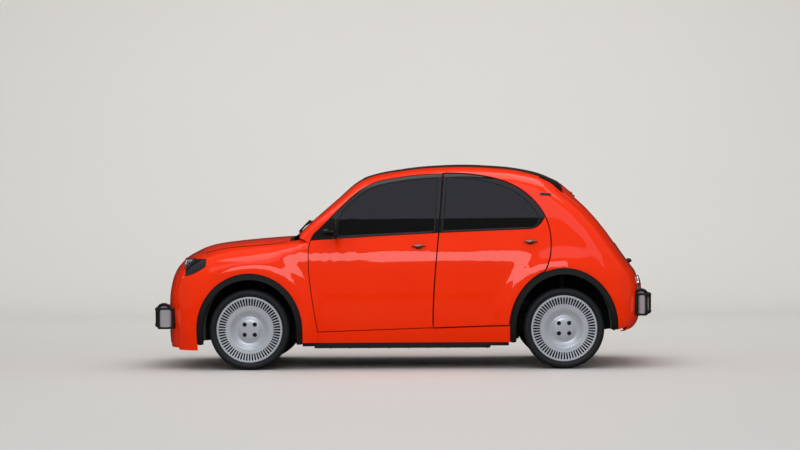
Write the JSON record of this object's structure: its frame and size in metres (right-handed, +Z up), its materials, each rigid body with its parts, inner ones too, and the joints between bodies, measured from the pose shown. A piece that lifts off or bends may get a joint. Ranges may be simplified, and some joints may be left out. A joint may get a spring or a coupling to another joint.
{
  "type": "economy car",
  "caption": "Small five-door electric hatchback with round wings, dark glass, hinged doors, bonnet and tailgate, steered front wheels and free-turning wheels.",
  "frame": {"origin": "on the ground, in the middle of the car", "axes": "+X to the rear of the car, +Y to its right, +Z up"},
  "size_m": [3.92, 1.8126, 1.5889],
  "materials": {
    "body_paint": "gloss orange-red paint",
    "roof_black": "gloss black roof",
    "window_glass": "dark tinted glass",
    "lamp_glass": "smoked lamp glass",
    "lamp_red": "red lamp lens",
    "bumper_silver": "satin silver bumper core",
    "black_cladding": "textured black plastic",
    "mirror_black": "black mirror housing",
    "chassis_steel": "black primed steel",
    "battery_case": "cast aluminium",
    "dash_plastic": "dark grey moulded plastic",
    "seat_cloth": "dark grey woven cloth",
    "wheel_silver": "satin silver wheel",
    "tyre_rubber": "black rubber"
  },
  "bodies": {
    "root": {"body_sides": "body_paint", "roof_panel": "roof_black", "windscreen": "window_glass", "bulkhead": "chassis_steel", "front_wings": "body_paint", "end_panels": "body_paint", "headlamps": "lamp_glass", "bumpers": "bumper_silver", "cladding": "black_cladding", "wheel_liners": "black_cladding", "front_rails": "chassis_steel", "floor_pan": "chassis_steel", "front_suspension": "chassis_steel", "rear_suspension": "chassis_steel", "battery_pack": "battery_case", "drive_motor": "battery_case", "dashboard": "dash_plastic", "steering_column": "dash_plastic", "front_seats": "seat_cloth", "rear_seat": "seat_cloth"},
    "front_door_left": {"front_door_left": "body_paint", "front_window_left": "window_glass", "mirror_left": "mirror_black"},
    "front_door_right": {"front_door_right": "body_paint", "front_window_right": "window_glass", "mirror_right": "mirror_black"},
    "rear_door_left": {"rear_door_left": "body_paint", "rear_window_left": "window_glass"},
    "rear_door_right": {"rear_door_right": "body_paint", "rear_window_right": "window_glass"},
    "bonnet": {"bonnet": "body_paint"},
    "tailgate": {"tailgate": "body_paint", "tailgate_glass": "window_glass", "tail_lamps": "lamp_red"},
    "steering_wheel": {"steering_wheel": "dash_plastic"},
    "knuckle_left": {"knuckle_left": "chassis_steel"},
    "knuckle_right": {"knuckle_right": "chassis_steel"},
    "front_wheel_left": {"front_wheel_left": "wheel_silver", "front_tyre_left": "tyre_rubber"},
    "front_wheel_right": {"front_wheel_right": "wheel_silver", "front_tyre_right": "tyre_rubber"},
    "rear_wheel_left": {"rear_wheel_left": "wheel_silver", "rear_tyre_left": "tyre_rubber"},
    "rear_wheel_right": {"rear_wheel_right": "wheel_silver", "rear_tyre_right": "tyre_rubber"}
  },
  "joints": [
    {"name": "front_door_left_hinge", "type": "hinge", "parent": "root", "child": "front_door_left", "pos_m": [-0.711, -0.813, 0.7], "axis": [0, 0, -1], "range_deg": [0, 65]},
    {"name": "front_door_right_hinge", "type": "hinge", "parent": "root", "child": "front_door_right", "pos_m": [-0.711, 0.813, 0.7], "axis": [0, 0, 1], "range_deg": [0, 65]},
    {"name": "rear_door_left_hinge", "type": "hinge", "parent": "root", "child": "rear_door_left", "pos_m": [0.2445, -0.804, 0.7], "axis": [0, 0, -1], "range_deg": [0, 65]},
    {"name": "rear_door_right_hinge", "type": "hinge", "parent": "root", "child": "rear_door_right", "pos_m": [0.2445, 0.804, 0.7], "axis": [0, 0, 1], "range_deg": [0, 65]},
    {"name": "bonnet_hinge", "type": "hinge", "parent": "root", "child": "bonnet", "pos_m": [-0.865, 0, 1.02754], "axis": [0, 1, 0], "range_deg": [0, 50]},
    {"name": "tailgate_hinge", "type": "hinge", "parent": "root", "child": "tailgate", "pos_m": [1.256, 0, 1.43545], "axis": [0, -1, 0], "range_deg": [0, 75]},
    {"name": "steer_left", "type": "hinge", "parent": "root", "child": "knuckle_left", "pos_m": [-1.165, -0.664, 0.309], "axis": [0, 0, 1], "range_deg": [-30, 30]},
    {"name": "steer_right", "type": "hinge", "parent": "root", "child": "knuckle_right", "pos_m": [-1.165, 0.664, 0.309], "axis": [0, 0, 1], "range_deg": [-30, 30]},
    {"name": "steering_wheel_turn", "type": "hinge", "parent": "root", "child": "steering_wheel", "pos_m": [-0.305, -0.37, 0.88], "axis": [0.9063, 0, 0.4226], "range_deg": [-420, 420]},
    {"name": "front_wheel_left_spin", "type": "hinge", "parent": "knuckle_left", "child": "front_wheel_left", "pos_m": [-1.165, -0.71, 0.309], "axis": [0, 1, 0], "continuous": true},
    {"name": "front_wheel_right_spin", "type": "hinge", "parent": "knuckle_right", "child": "front_wheel_right", "pos_m": [-1.165, 0.71, 0.309], "axis": [0, 1, 0], "continuous": true},
    {"name": "rear_wheel_left_spin", "type": "hinge", "parent": "root", "child": "rear_wheel_left", "pos_m": [1.24, -0.71, 0.309], "axis": [0, 1, 0], "continuous": true},
    {"name": "rear_wheel_right_spin", "type": "hinge", "parent": "root", "child": "rear_wheel_right", "pos_m": [1.24, 0.71, 0.309], "axis": [0, 1, 0], "continuous": true}
  ],
  "couplings": [
    {"joint": "steer_right", "follows": "steer_left", "ratio": 1},
    {"joint": "steering_wheel_turn", "follows": "steer_left", "ratio": 14}
  ]
}
